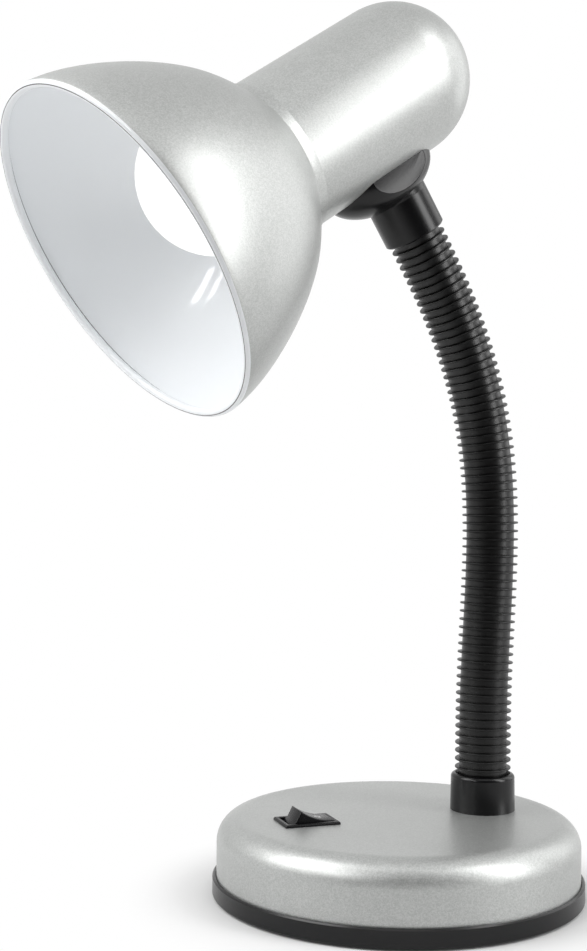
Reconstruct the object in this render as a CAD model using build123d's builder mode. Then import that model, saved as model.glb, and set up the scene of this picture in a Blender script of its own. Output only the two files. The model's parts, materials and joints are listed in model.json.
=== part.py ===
from build123d import *
import os
from math import cos, radians, sin, sqrt, tan

# Gooseneck desk lamp. Millimetres, +Z up. The origin is on the table under the middle of the
# round base, the rocker switch is towards -X and the mains cord leaves towards +X. The neck rises
# behind the middle of the base and bends forward in an upright plane that is turned a little
# towards -Y. It carries a tubular lamp housing with a bell shade and a screw-in bulb.

os.makedirs("parts", exist_ok=True)

# ---- base ----
base_radius = 68.7           # widest edge of the black tray
cover_radius = 67.2          # straight wall of the steel cover
cover_top = 28.8             # flat top of the cover above the table
cover_round = 9.0            # rounding between the cover's wall and its top
cover_wall = 1.2
tray_top = 7.4               # upper edge of the tray's rim
tray_wall = 1.2
tray_floor = 1.6
tray_chamfer = 0.5
pad_proud = 0.6              # how far the foam pad stands below the tray
pad_thick = 1.2
pad_radius = 63.0
ballast_radius = 59.0
ballast_thick = 6.2
ballast_hole = 9.0           # radius of the hole in its middle
post_ring = 50.0             # radius of the circle of the four fixing posts
post_radius = 3.5
post_boss_radius = 4.6
post_boss_height = 4.4
screw_radius = 1.45
screw_head_radius = 3.0
screw_head_height = 1.8
screw_length = 12.0
screw_spare = 2.0            # end of the screw hole beyond the screw
post_count = 4
clear = 0.15                 # clearance of pieces that are only laid together

# ---- rocker switch ----
switch_x = -35.8
bezel_length = 21.0
bezel_width = 15.0
bezel_height = 1.0
switch_length = 19.0
switch_width = 12.8
switch_depth = 12.6
rocker_slot_length = 18.0
rocker_slot_width = 11.0
rocker_slot_depth = 9.8
rocker_width = 10.4
rocker_half = 6.6            # half the length between the two upper edges
rocker_edge = 3.55           # upper edges above the cover when the rocker is level
rocker_sag = 1.1             # hollow between the two edges
rocker_foot = 7.4            # half the length at the lower end of the end faces
rocker_foot_drop = 0.7       # that end under the cover's top
rocker_skirt_radius = 8.7    # round skirt about the pivot under the end faces
rocker_skirt_high = 21.0     # the skirt's upper and lower end, degrees over the pivot
rocker_skirt_low = -14.0
rocker_throw = 17.0          # tilt of the rocker from level, degrees
pivot_drop = 4.6             # pivot under the cover's top
pivot_radius = 1.2
running = 0.05               # radial clearance of pivots and ball joints
terminal_width = 4.8
terminal_thick = 0.8
terminal_drop = 6.6
terminal_pitch = 7.0

# ---- cord inlet ----
cord_radius = 3.2            # bore of the inlet bush
inlet_height = 16.0
inlet_neck_radius = 4.6
inlet_flange_radius = 6.0
inlet_flange = 1.2
inlet_nose = 2.4
inlet_back = 4.2             # how far the bush reaches into the base
block_y = 28.0               # middle of the terminal block
connector_length = 20.0
connector_width = 11.0
connector_height = 10.0
connector_pitch = 9.0

# ---- neck ----
neck_x = 34.8                # axis of the neck's foot behind the middle of the base
neck_turn = 12.0             # heading of the neck's plane, degrees from -X towards -Y
link_count = 10
link_length = 21.6
link_turns = (-0.3, -2.6, -0.5, 2.2, 4.5, 7.2, 8.3, 6.7, 6.4, 1.75)   # bend of each link, degrees
ball_radius = 5.0
ball_height = 11.3           # first ball joint above the cover
link_radius = 6.9
stem_radius = 2.9
wire_radius = 1.7            # bore for the wires
socket_lip = 2.0             # how far a socket reaches past the middle of its ball
socket_roof = 2.2            # solid above the ball inside a link
stem_reach = 5.4             # from the end of a link's body to the middle of its ball
sleeve_core_radius = 8.95
sleeve_bore_radius = 7.6
fin_radius = 10.5
fin_thick = 1.2
fins_per_link = 7
sleeve_gap = 0.15            # half the gap between two lengths of sleeve
thread_radius = 5.0          # M10 threaded ends
collar_radius = 12.2
collar_height = 13.8
collar_taper = 0.2
collar_bore_radius = 9.6
collar_floor = 2.0
collar_round = 1.6
stud_flange_radius = 8.5
stud_flange = 2.0
nut_flats = 17.0
nut_height = 4.0
stud_tail = 10.0             # thread under the cover's top
washer_radius = 9.0
washer_thick = 1.2

# ---- head ----
mouth_radius = 62.0          # outer edge of the shade's mouth
shade_depth = 68.0           # mouth to the end of the shade's neck ring
shade_wall = 1.0
rim_bead_radius = 1.25
housing_radius = 28.0
housing_wall = 1.0
housing_front = 65.5         # front edge of the housing behind the mouth
dome_centre = 129.8          # centre of the housing's round end behind the mouth
ring_wall = 1.0              # neck ring of the shade around the housing
ring_length = 4.6
ring_lip = 0.4               # rounded-off step between the bell and the neck ring
neck_station = 108.45       # where the neck's axis meets the head's axis, behind the mouth
saddle_rise = 18.3          # underside of the housing above the end of the last link
head_rise = housing_radius + saddle_rise
ferrule_radius = 11.5
ferrule_length = 14.8
ferrule_overlap = 4.85       # how far the ferrule reaches down over the last link
ferrule_bore_radius = 9.2
saddle_station = 105.2       # middle of the saddle behind the mouth
saddle_half_length = 22.8
saddle_bowl_width = 17.3     # half width of the uncut bowl
saddle_bowl_depth = 13.2
saddle_half_width = 14.4     # flat cheeks of the saddle
saddle_hug = 3.0             # widest section of the bowl above the housing's underside
block_length = 20.0          # inner clamping block
block_width = 18.0
block_rise = 4.2             # its flat top above the housing's underside
head_nut_height = 3.0
head_nut_flats = 14.0
head_washer_radius = 8.0
head_washer_thick = 1.0
thread_spare = 0.7           # end of the thread beyond the head's nut

# ---- lampholder and bulb ----
bracket_station = 132.2      # bracket behind the mouth
bracket_rise = 1.2           # lampholder's fixing above the head's axis
bracket_width = 15.0
bracket_thick = 1.5
bracket_half_height = 11.0
bracket_toe = 11.5           # how far the foot reaches before the neck's axis
lamp_tilt = 3.0              # lampholder leans towards the top of the shade, degrees
holder_length = 43.0
holder_radius = 17.5
holder_mouth_radius = 18.4
holder_cap_radius = 12.5
holder_cap_height = 8.0
holder_bore_radius = 14.3
holder_floor = 12.0
shell_radius = 14.2
shell_wall = 0.7
shell_length = 26.0
nipple_radius = 4.9
nipple_back = 6.5            # nipple behind and before the bracket
nipple_front = 6.0
bulb_radius = 27.0
bulb_gap = 0.75              # between the bulb's ball and the shade's neck ring
bulb_wall = 0.8
cap_radius = 13.2
cap_foot = 20.0              # foot of the cap's thread before the bracket
cap_length = 22.0
cap_wall = 0.4
contact_station = 16.0       # tip of the cap's contact before the bracket
contact_radius = 4.8
bulb_neck_radius = 12.5

up = Vector(0, 0, 1)
tray_bottom = pad_proud
saddle_level = housing_radius - saddle_hug
block_level = housing_radius - block_rise       # flat top of the clamping block under the axis
foot_level = saddle_rise + block_rise              # bracket's foot above the last link's end
nut_level = foot_level + bracket_thick + head_washer_thick
thread_end = nut_level + head_nut_height + thread_spare
ring_radius = housing_radius + ring_wall
ring_start = shade_depth - ring_length
tray_inside = pad_thick + tray_floor            # floor that the ballast and the cover stand on
cover_under = cover_top - cover_wall
heading = Vector(-cos(radians(neck_turn)), -sin(radians(neck_turn)), 0)
neck_foot = Vector(neck_x, 0, cover_top + ball_height)


def keep(piece, name):
    """Labels a finished piece and writes it."""
    piece.part.label = name
    export_step(piece.part, f"parts/{name}.step")


def half_plane(frame):
    """Plane of a turned profile: sketch X is the radius and sketch Y the frame's own axis."""
    return Plane(origin=frame.origin, x_dir=frame.x_dir, z_dir=-frame.y_dir)


def spin_axis(frame):
    return Axis(frame.origin, frame.z_dir)


def lean_frame(point, lean):
    """Plane on the neck: local Z runs along it and local X points the way that it leans."""
    along = heading * sin(radians(lean)) + up * cos(radians(lean))
    across = heading * cos(radians(lean)) - up * sin(radians(lean))
    return Plane(origin=point, x_dir=across, z_dir=along)


def bend_chord(length, turn):
    """Straight distance between the ends of an arc of this length and turn."""
    half = radians(turn) / 2
    return length * (sin(half) / half if half else 1.0)


def neck_start(link):
    """Point and lean, in degrees, at the lower end of a link, counted from 0."""
    point, lean = neck_foot, 0.0
    for turn in link_turns[:link]:
        frame = lean_frame(point, lean + turn / 2)
        point = point + frame.z_dir * bend_chord(link_length, turn)
        lean += turn
    return point, lean


def neck_section(link, share):
    """Plane across the neck at a share of the link's length."""
    point, lean = neck_start(link)
    turn = link_turns[link] * share
    if share:
        chord = lean_frame(point, lean + turn / 2)
        point = point + chord.z_dir * bend_chord(link_length * share, turn)
    return lean_frame(point, lean + turn)


origin_frame = Plane.XY
neck_end = neck_section(link_count - 1, 1.0)
head = Plane(
    origin=neck_end.origin + neck_end.z_dir * head_rise + neck_end.x_dir * neck_station,
    x_dir=neck_end.z_dir,
    z_dir=-neck_end.x_dir,
)
# Local Z of the head runs from the mouth to the round end and local X is its upper side.


def head_frame(station, rise, tilt=0.0):
    """Plane on the head that looks back at the mouth, tilted towards the upper side."""
    back, top = head.z_dir, head.x_dir
    ahead = top * sin(radians(tilt)) - back * cos(radians(tilt))
    side = top * cos(radians(tilt)) + back * sin(radians(tilt))
    return Plane(origin=head.origin + back * station + top * rise, x_dir=side, z_dir=ahead)


ferrule_foot = neck_end.offset(-ferrule_overlap)
saddle_seat = neck_end.offset(ferrule_length - ferrule_overlap)
post_spots = PolarLocations(post_ring, post_count, start_angle=45)

# ---------------------------------------------------------------- base

with BuildPart() as base_tray:
    with BuildSketch(Plane.XZ) as tray_profile:
        with BuildLine():
            Polyline(
                (0, pad_thick),
                (pad_radius + clear, pad_thick),
                (pad_radius + clear, tray_bottom),
                (base_radius - tray_chamfer, tray_bottom),
                (base_radius, tray_bottom + tray_chamfer),
                (base_radius, tray_top - tray_chamfer),
                (base_radius - tray_chamfer, tray_top),
                (base_radius - tray_wall, tray_top),
                (base_radius - tray_wall, tray_inside),
                (0, tray_inside),
                close=True,
            )
        make_face()
    revolve(axis=Axis.Z)
    with BuildSketch(Plane.XY.offset(tray_inside)):
        with post_spots:
            Circle(post_boss_radius)
    extrude(amount=post_boss_height - tray_floor)
    with BuildSketch(Plane.XY.offset(pad_thick)):
        with post_spots:
            Circle(screw_head_radius + 2 * clear)
    extrude(amount=post_boss_height - tray_floor, mode=Mode.SUBTRACT)
    with BuildSketch(Plane.XY):
        with post_spots:
            Circle(screw_radius + clear)
    extrude(amount=cover_top, mode=Mode.SUBTRACT)
keep(base_tray, "base_tray")

with BuildPart() as base_pad:
    with BuildSketch():
        Circle(pad_radius)
        with post_spots:
            Circle(screw_head_radius + 4 * clear, mode=Mode.SUBTRACT)
    extrude(amount=pad_thick)
keep(base_pad, "base_pad")

boss_top = pad_thick + post_boss_height
with BuildPart() as base_ballast:
    with BuildSketch(Plane.XY.offset(tray_inside)):
        Circle(ballast_radius)
        Circle(ballast_hole, mode=Mode.SUBTRACT)
        with post_spots:
            Circle(post_boss_radius + 2 * clear, mode=Mode.SUBTRACT)
    extrude(amount=ballast_thick)
    chamfer(base_ballast.edges().filter_by(GeomType.CIRCLE).sort_by(SortBy.RADIUS)[-2:], 0.8)
keep(base_ballast, "base_ballast")

inner_round = cover_round - cover_wall
with BuildPart() as base_cover:
    with BuildSketch(Plane.XZ):
        with BuildLine():
            wall = Line((cover_radius, tray_inside), (cover_radius, cover_top - cover_round))
            shoulder = RadiusArc(wall @ 1, (cover_radius - cover_round, cover_top), -cover_round)
            Polyline(shoulder @ 1, (0, cover_top), (0, cover_under))
            deck = Line((0, cover_under), (cover_radius - cover_round, cover_under))
            inner = RadiusArc(
                deck @ 1, (cover_radius - cover_wall, cover_top - cover_round), inner_round
            )
            Polyline(inner @ 1, (cover_radius - cover_wall, tray_inside), wall @ 0)
        make_face()
    revolve(axis=Axis.Z)
    with BuildSketch(Plane.XY.offset(boss_top)):
        with post_spots:
            Circle(post_radius)
    extrude(until=Until.NEXT)
    with BuildSketch(Plane.XY.offset(boss_top)):
        with post_spots:
            Circle(screw_radius)
    extrude(amount=screw_length, mode=Mode.SUBTRACT)
    with BuildSketch(Plane.XY.offset(cover_under)):
        with Locations((switch_x, 0)):
            Rectangle(switch_length + 2 * clear, switch_width + 2 * clear)
        with Locations((neck_x, 0)):
            Circle(thread_radius + clear)
    extrude(amount=2 * cover_wall, mode=Mode.SUBTRACT)
    with BuildSketch(Plane.YZ.offset(cover_radius / 2)):
        with Locations((0, inlet_height)):
            Circle(inlet_neck_radius)
    extrude(amount=cover_radius, mode=Mode.SUBTRACT)
keep(base_cover, "base_cover")

with BuildPart() as base_screws:
    with BuildSketch(Plane.XY.offset(boss_top - tray_floor - screw_head_height)):
        with post_spots:
            Circle(screw_head_radius)
    extrude(amount=screw_head_height)
    with BuildSketch(Plane.XY.offset(boss_top - tray_floor)):
        with post_spots:
            Circle(screw_radius)
    extrude(amount=screw_length - screw_spare)
keep(base_screws, "base_screws")

# ---------------------------------------------------------------- switch

with BuildPart() as switch_body:
    with BuildSketch(Plane.XY.offset(cover_top)) as bezel:
        with Locations((switch_x, 0)):
            RectangleRounded(bezel_length, bezel_width, 0.6)
    extrude(amount=bezel_height)
    chamfer(switch_body.faces().sort_by(Axis.Z)[-1].edges(), 0.45)
    with BuildSketch(Plane.XY.offset(cover_top)):
        with Locations((switch_x, 0)):
            Rectangle(switch_length, switch_width)
    extrude(amount=-switch_depth)
    with BuildSketch(Plane.XY.offset(cover_top + bezel_height)):
        with Locations((switch_x, 0)):
            Rectangle(rocker_slot_length, rocker_slot_width)
    extrude(amount=-rocker_slot_depth - bezel_height, mode=Mode.SUBTRACT)
    with BuildSketch(Plane.XZ):
        with Locations((switch_x, cover_top - pivot_drop)):
            Circle(pivot_radius + running)
    extrude(amount=switch_width, both=True, mode=Mode.SUBTRACT)
keep(switch_body, "switch_body")

rocker_pivot = Plane(
    origin=(switch_x, 0, cover_top - pivot_drop),
    x_dir=(cos(radians(rocker_throw)), 0, -sin(radians(rocker_throw))),
    z_dir=(0, -1, 0),
)
# The sketch plane stands on the pivot, looks along the pin and carries the rocker's tilt.
edge_rise = rocker_edge + pivot_drop
foot_rise = pivot_drop - rocker_foot_drop
skirt_sweep = rocker_skirt_high - rocker_skirt_low
with BuildPart() as switch_rocker:
    with BuildSketch(rocker_pivot):
        with BuildLine():
            front = CenterArc(
                (0, 0), rocker_skirt_radius, 180 - rocker_skirt_high, skirt_sweep
            )
            Polyline(front @ 1, (-2 * pivot_radius, -3.6), (2 * pivot_radius, -3.6))
            rear = CenterArc((0, 0), rocker_skirt_radius, rocker_skirt_low, skirt_sweep)
            Line((2 * pivot_radius, -3.6), rear @ 0)
            Polyline(rear @ 1, (rocker_foot, foot_rise), (rocker_half, edge_rise))
            SagittaArc((rocker_half, edge_rise), (-rocker_half, edge_rise), rocker_sag)
            Polyline((-rocker_half, edge_rise), (-rocker_foot, foot_rise), front @ 0)
        make_face()
    extrude(amount=rocker_width / 2, both=True)
    with BuildSketch(rocker_pivot):
        Circle(pivot_radius)
    extrude(amount=switch_width / 2, both=True)
keep(switch_rocker, "switch_rocker")

terminal_top = cover_top - switch_depth
with BuildPart() as switch_terminals:
    with BuildSketch(Plane.XY.offset(terminal_top)):
        with Locations((switch_x, 0)):
            with GridLocations(terminal_pitch, 0, 2, 1):
                Rectangle(terminal_thick, terminal_width)
    extrude(amount=-terminal_drop)
    with BuildSketch(Plane.YZ.offset(switch_x)):
        with Locations((0, terminal_top - terminal_drop * 0.6)):
            Circle(0.8)
    extrude(amount=terminal_pitch, both=True, mode=Mode.SUBTRACT)
keep(switch_terminals, "switch_terminals")

# ---------------------------------------------------------------- cord inlet and wiring

inlet = Plane(origin=(cover_radius, 0, inlet_height), x_dir=(0, 1, 0), z_dir=(1, 0, 0))
with BuildPart() as cord_inlet:
    with BuildSketch(half_plane(inlet)):
        with BuildLine():
            Polyline(
                (cord_radius, -inlet_back),
                (inlet_neck_radius + 0.8, 0.6 - inlet_back),
                (inlet_neck_radius + 0.8, -cover_wall - 0.4),
                (inlet_neck_radius, -cover_wall - 0.4),
                (inlet_neck_radius, 0),
                (inlet_flange_radius, 0),
                (inlet_flange_radius - 0.4, inlet_flange),
                (inlet_neck_radius + 0.2, inlet_flange),
                (inlet_neck_radius - 0.5, inlet_nose),
                (cord_radius, inlet_nose),
                close=True,
            )
        make_face()
    revolve(axis=spin_axis(inlet))
keep(cord_inlet, "cord_inlet")

block_top = tray_inside + ballast_thick
with BuildPart() as terminal_block:
    with BuildSketch(Plane.XY.offset(block_top)):
        with Locations((0, block_y)):
            RectangleRounded(connector_length, connector_width, 1)
    extrude(amount=connector_height)
    with BuildSketch(Plane.XY.offset(block_top + connector_height)):
        with Locations((0, block_y)):
            with GridLocations(connector_pitch, 0, 2, 1):
                Circle(2.0)
    extrude(amount=-0.6 * connector_height, mode=Mode.SUBTRACT)
    with BuildSketch(Plane.XZ.offset(-block_y)):
        with Locations((0, block_top + 0.4 * connector_height)):
            with GridLocations(connector_pitch, 0, 2, 1):
                Circle(1.6)
    extrude(amount=connector_width, both=True, mode=Mode.SUBTRACT)
keep(terminal_block, "terminal_block")

# ---------------------------------------------------------------- foot of the neck

foot = Plane(origin=neck_foot)                     # middle of the first ball
deck_level = -ball_height                          # the cover's top in that frame
flange_level = deck_level + collar_floor
with BuildPart() as neck_stud:
    with BuildSketch(half_plane(foot)):
        with BuildLine():
            neck_meet = sqrt(ball_radius**2 - stem_radius**2)
            Polyline(
                (wire_radius, -sqrt(ball_radius**2 - wire_radius**2)),
                (wire_radius, deck_level - stud_tail),
                (thread_radius, deck_level - stud_tail),
                (thread_radius, flange_level),
                (stud_flange_radius, flange_level),
                (stud_flange_radius, flange_level + stud_flange),
                (stem_radius, flange_level + stud_flange),
                (stem_radius, -neck_meet),
                (wire_radius, -neck_meet),
                close=True,
            )
        make_face()
    revolve(axis=spin_axis(foot))
    with Locations(foot):
        Sphere(ball_radius)
    with BuildSketch(foot.offset(deck_level - stud_tail)):
        Circle(wire_radius)
    extrude(amount=stud_tail + ball_height + 2 * ball_radius, mode=Mode.SUBTRACT)
keep(neck_stud, "neck_stud")

with BuildPart() as neck_collar:
    with BuildSketch(half_plane(foot.offset(deck_level))):
        with BuildLine():
            mouth = collar_radius - collar_taper - collar_round
            Polyline((thread_radius + clear, 0), (collar_radius, 0))
            side = Line(
                (collar_radius, 0), (collar_radius - collar_taper, collar_height - collar_round)
            )
            lip = RadiusArc(side @ 1, (mouth, collar_height), -collar_round)
            Polyline(
                lip @ 1,
                (collar_bore_radius, collar_height - 2.2),
                (collar_bore_radius, collar_floor),
                (thread_radius + clear, collar_floor),
                (thread_radius + clear, 0),
            )
        make_face()
    revolve(axis=spin_axis(foot))
keep(neck_collar, "neck_collar")

with BuildPart() as stud_washer:
    with BuildSketch(foot.offset(deck_level - cover_wall)):
        Circle(washer_radius)
        Circle(thread_radius + clear, mode=Mode.SUBTRACT)
    extrude(amount=-washer_thick)
keep(stud_washer, "stud_washer")

with BuildPart() as stud_nut:
    with BuildSketch(foot.offset(deck_level - cover_wall - washer_thick)):
        RegularPolygon(nut_flats / 2, 6, major_radius=False)
        Circle(thread_radius, mode=Mode.SUBTRACT)
    extrude(amount=-nut_height)
keep(stud_nut, "stud_nut")

# ---------------------------------------------------------------- links of the neck


def link_frame(link):
    """Plane on a link's lower ball, with its Z towards the upper one, and their distance."""
    point, lean = neck_start(link)
    turn = link_turns[link]
    return lean_frame(point, lean + turn / 2), bend_chord(link_length, turn)


socket_radius = ball_radius + running
last = link_count - 1
for link in range(link_count):
    frame, reach = link_frame(link)
    body_end = reach - stem_reach
    with BuildPart() as neck_core:
        with BuildSketch(half_plane(frame)):
            with BuildLine():
                Polyline(
                    (0, -socket_lip),
                    (link_radius - 0.5, -socket_lip),
                    (link_radius, 0.5 - socket_lip),
                    (link_radius, body_end - 0.8),
                    (link_radius - 0.8, body_end),
                    (stem_radius, body_end),
                    (stem_radius, reach),
                    (0, reach),
                    close=True,
                )
            make_face()
        revolve(axis=spin_axis(frame))
        if link < last:
            with Locations(frame.offset(reach)):
                Sphere(ball_radius)
        else:
            with BuildSketch(neck_end.offset(-stem_reach)):
                Circle(thread_radius)
            extrude(amount=stem_reach + thread_end)
        with Locations(frame):
            Sphere(socket_radius, mode=Mode.SUBTRACT)
        with BuildSketch(frame):
            Circle(wire_radius)
        extrude(amount=reach + head_rise, mode=Mode.SUBTRACT)
    keep(neck_core, f"neck_core_{link + 1}")

fin_pitch = link_length / fins_per_link
for link in range(link_count):
    lower = neck_section(link, sleeve_gap / link_length)
    upper = neck_section(link, 1 - sleeve_gap / link_length)
    middle = neck_section(link, 0.5)
    with BuildPart() as neck_sleeve:
        with BuildLine():
            bow = (upper.origin - lower.origin).cross(middle.origin - lower.origin)
            if bow.length > 0.01:
                ThreePointArc(lower.origin, middle.origin, upper.origin)
            else:
                Line(lower.origin, upper.origin)
        with BuildSketch(lower):
            Circle(sleeve_core_radius)
            Circle(sleeve_bore_radius, mode=Mode.SUBTRACT)
        sweep()
        for fin in range(fins_per_link):
            height = (fin + 0.5) * fin_pitch
            below_collar = link == 0 and height < collar_height - ball_height + fin_thick
            in_ferrule = link == last and height > link_length - ferrule_overlap - fin_thick
            if below_collar or in_ferrule:
                continue
            with BuildSketch(neck_section(link, height / link_length)):
                Circle(fin_radius)
                Circle((sleeve_core_radius + sleeve_bore_radius) / 2, mode=Mode.SUBTRACT)
            extrude(amount=fin_thick / 2, both=True)
    keep(neck_sleeve, f"neck_sleeve_{link + 1}")

# ---------------------------------------------------------------- head

with BuildPart() as head_ferrule:
    with BuildSketch(half_plane(ferrule_foot)):
        with BuildLine():
            Polyline(
                (ferrule_bore_radius, 0),
                (ferrule_radius - 0.5, 0),
                (ferrule_radius, 0.5),
                (ferrule_radius, ferrule_length),
                (thread_radius, ferrule_length),
                (thread_radius, ferrule_overlap + clear),
                (ferrule_bore_radius, ferrule_overlap + clear),
                close=True,
            )
        make_face()
    revolve(axis=spin_axis(neck_end))
keep(head_ferrule, "head_ferrule")

housing_cut = Cylinder(housing_radius, 2 * shade_depth + dome_centre, mode=Mode.PRIVATE)
bowl = scale(
    Sphere(1, mode=Mode.PRIVATE), by=(saddle_bowl_depth, saddle_bowl_width, saddle_half_length)
)
bowl_place = head.offset(saddle_station) * Pos(-saddle_level, 0, 0)
with BuildPart() as head_saddle:
    add(bowl_place * bowl)
    with BuildSketch(saddle_seat):
        Circle(ferrule_radius)
    extrude(amount=head_rise - ferrule_length)
    with BuildSketch(saddle_seat.offset(-saddle_bowl_depth)):
        Rectangle(4 * saddle_half_length, 4 * saddle_half_width)
    extrude(amount=saddle_bowl_depth, mode=Mode.SUBTRACT)
    with BuildSketch(saddle_seat):
        Rectangle(4 * saddle_half_length, 2 * saddle_half_width)
    extrude(amount=head_rise, mode=Mode.INTERSECT)
    with Locations(head.offset(dome_centre / 2)):
        add(housing_cut, mode=Mode.SUBTRACT)
    with BuildSketch(saddle_seat):
        Circle(thread_radius)
    extrude(amount=head_rise, mode=Mode.SUBTRACT)
keep(head_saddle, "head_saddle")

with BuildPart() as head_housing:
    with BuildSketch(half_plane(head)):
        with BuildLine():
            inside = housing_radius - housing_wall
            outer = Line((housing_radius, housing_front), (housing_radius, dome_centre))
            dome = RadiusArc(outer @ 1, (0, dome_centre + housing_radius), -housing_radius)
            Line(dome @ 1, (0, dome_centre + inside))
            liner = RadiusArc((0, dome_centre + inside), (inside, dome_centre), inside)
            Polyline(liner @ 1, (inside, housing_front), outer @ 0)
        make_face()
    revolve(axis=spin_axis(head))
    with BuildSketch(saddle_seat):
        Circle(thread_radius + clear)
    extrude(amount=head_rise - ferrule_length, mode=Mode.SUBTRACT)
keep(head_housing, "head_housing")

with BuildPart() as head_shade:
    with BuildSketch(half_plane(head)):
        with BuildLine():
            bell = Spline(
                (mouth_radius, rim_bead_radius),
                (mouth_radius - 5.3, 24),
                (mouth_radius - 17.5, 48),
                (ring_radius + 1.0, ring_start),
                tangents=((-0.06, 1), (-0.75, 0.66)),
            )
            inner_points = [
                bell @ share + (bell % share).rotate(Axis.Z, 90) * shade_wall
                for share in (0, 0.25, 0.5, 0.75, 1)
            ]
            lining = Spline(*inner_points, tangents=(bell % 0, bell % 1))
            Line(bell @ 0, lining @ 0)
            Line(bell @ 1, lining @ 1)
        make_face()
        with BuildLine():
            Polyline(
                (housing_radius, ring_start - ring_lip),
                (ring_radius + 1.2, ring_start - ring_lip - 0.6),
                (ring_radius + 1.0, ring_start),
                (ring_radius, ring_start + 0.8),
                (ring_radius, shade_depth),
                (housing_radius, shade_depth),
                close=True,
            )
        make_face()
        with Locations((mouth_radius - rim_bead_radius, rim_bead_radius)):
            Circle(rim_bead_radius)
    revolve(axis=spin_axis(head))
keep(head_shade, "head_shade")

with BuildPart() as clamp_block:
    with BuildSketch(neck_end.offset(head_rise - housing_radius)):
        Rectangle(block_length, block_width)
    extrude(amount=housing_radius - block_level)
    with Locations(head.offset(dome_centre / 2)):
        Cylinder(housing_radius - housing_wall, 2 * dome_centre, mode=Mode.INTERSECT)
    with BuildSketch(saddle_seat):
        Circle(thread_radius)
    extrude(amount=head_rise, mode=Mode.SUBTRACT)
keep(clamp_block, "clamp_block")

lamp = head_frame(bracket_station, bracket_rise, lamp_tilt)
bracket_heel = bracket_station - neck_station
with BuildPart() as lamp_bracket:
    with BuildSketch(neck_end.offset(foot_level)):
        with Locations(((bracket_toe - bracket_heel) / 2, 0)):
            Rectangle(bracket_toe + bracket_heel, bracket_width)
    extrude(amount=bracket_thick)
    with BuildSketch(saddle_seat):
        Circle(thread_radius)
    extrude(amount=head_rise, mode=Mode.SUBTRACT)
    with BuildSketch(lamp):
        Rectangle(2 * (block_level + bracket_rise) + 0.4, bracket_width)
        Circle(nipple_radius, mode=Mode.SUBTRACT)
    extrude(amount=-bracket_thick)
    with BuildSketch(neck_end.offset(foot_level)):
        Rectangle(4 * bracket_station, 4 * bracket_width)
    extrude(amount=block_level + bracket_rise + bracket_half_height, mode=Mode.INTERSECT)
keep(lamp_bracket, "lamp_bracket")

with BuildPart() as head_washer:
    with BuildSketch(neck_end.offset(foot_level + bracket_thick)):
        Circle(head_washer_radius)
        Circle(thread_radius, mode=Mode.SUBTRACT)
    extrude(amount=head_washer_thick)
keep(head_washer, "head_washer")

with BuildPart() as head_nut:
    with BuildSketch(neck_end.offset(nut_level)):
        RegularPolygon(head_nut_flats / 2, 6, major_radius=False)
        Circle(thread_radius, mode=Mode.SUBTRACT)
    extrude(amount=head_nut_height)
keep(head_nut, "head_nut")

# ---------------------------------------------------------------- lampholder

with BuildPart() as holder_nipple:
    with BuildSketch(lamp.offset(-nipple_back)):
        Circle(nipple_radius)
        Circle(nipple_radius - 1.4, mode=Mode.SUBTRACT)
    extrude(amount=nipple_back + nipple_front)
keep(holder_nipple, "holder_nipple")

with BuildPart() as holder_nut:
    with BuildSketch(lamp.offset(-bracket_thick)):
        RegularPolygon(head_nut_flats / 2, 6, major_radius=False)
        Circle(nipple_radius, mode=Mode.SUBTRACT)
    extrude(amount=-head_nut_height)
keep(holder_nut, "holder_nut")

with BuildPart() as holder_body:
    with BuildSketch(half_plane(lamp)):
        with BuildLine():
            Polyline(
                (nipple_radius, 0),
                (holder_cap_radius, 0),
                (holder_radius, holder_cap_height),
                (holder_radius, holder_length - 6),
                (holder_mouth_radius, holder_length - 5),
                (holder_mouth_radius, holder_length),
                (holder_bore_radius, holder_length),
                (holder_bore_radius, holder_floor),
                (nipple_radius, holder_floor),
                close=True,
            )
        make_face()
    revolve(axis=spin_axis(lamp))
keep(holder_body, "holder_body")

with BuildPart() as holder_shell:
    with BuildSketch(lamp.offset(holder_floor)):
        Circle(shell_radius)
        Circle(nipple_radius, mode=Mode.SUBTRACT)
    extrude(amount=shell_length)
    with BuildSketch(lamp.offset(holder_floor + shell_wall)):
        Circle(shell_radius - shell_wall)
    extrude(amount=shell_length, mode=Mode.SUBTRACT)
keep(holder_shell, "holder_shell")

with BuildPart() as holder_contact:
    with BuildSketch(lamp.offset(nipple_front)):
        Circle(nipple_radius - 1.4)
    extrude(amount=contact_station - nipple_front - 1)
    with BuildSketch(lamp.offset(contact_station - 1)):
        Rectangle(9, 4)
    extrude(amount=1)
keep(holder_contact, "holder_contact")

# ---------------------------------------------------------------- bulb

cap_end = cap_foot + cap_length
with BuildPart() as bulb_cap:
    with BuildSketch(half_plane(lamp)):
        with BuildLine():
            Polyline(
                (contact_radius + 1, cap_foot),
                (cap_radius - 1.0, cap_foot),
                (cap_radius, cap_foot + 1.0),
                (cap_radius, cap_end),
                (cap_radius - cap_wall, cap_end),
                (cap_radius - cap_wall, cap_foot + 1.4),
                (contact_radius + 1, cap_foot + 1.4),
                close=True,
            )
        make_face()
    revolve(axis=spin_axis(lamp))
keep(bulb_cap, "bulb_cap")

with BuildPart() as bulb_contact:
    with BuildSketch(half_plane(lamp)):
        with BuildLine():
            Polyline(
                (0, contact_station),
                (contact_radius - 1, contact_station),
                (contact_radius, contact_station + 1),
                (contact_radius + 1, cap_foot),
                (contact_radius + 1, cap_foot + 1.4),
                (0, cap_foot + 1.4),
                close=True,
            )
        make_face()
    revolve(axis=spin_axis(lamp))
keep(bulb_contact, "bulb_contact")

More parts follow.
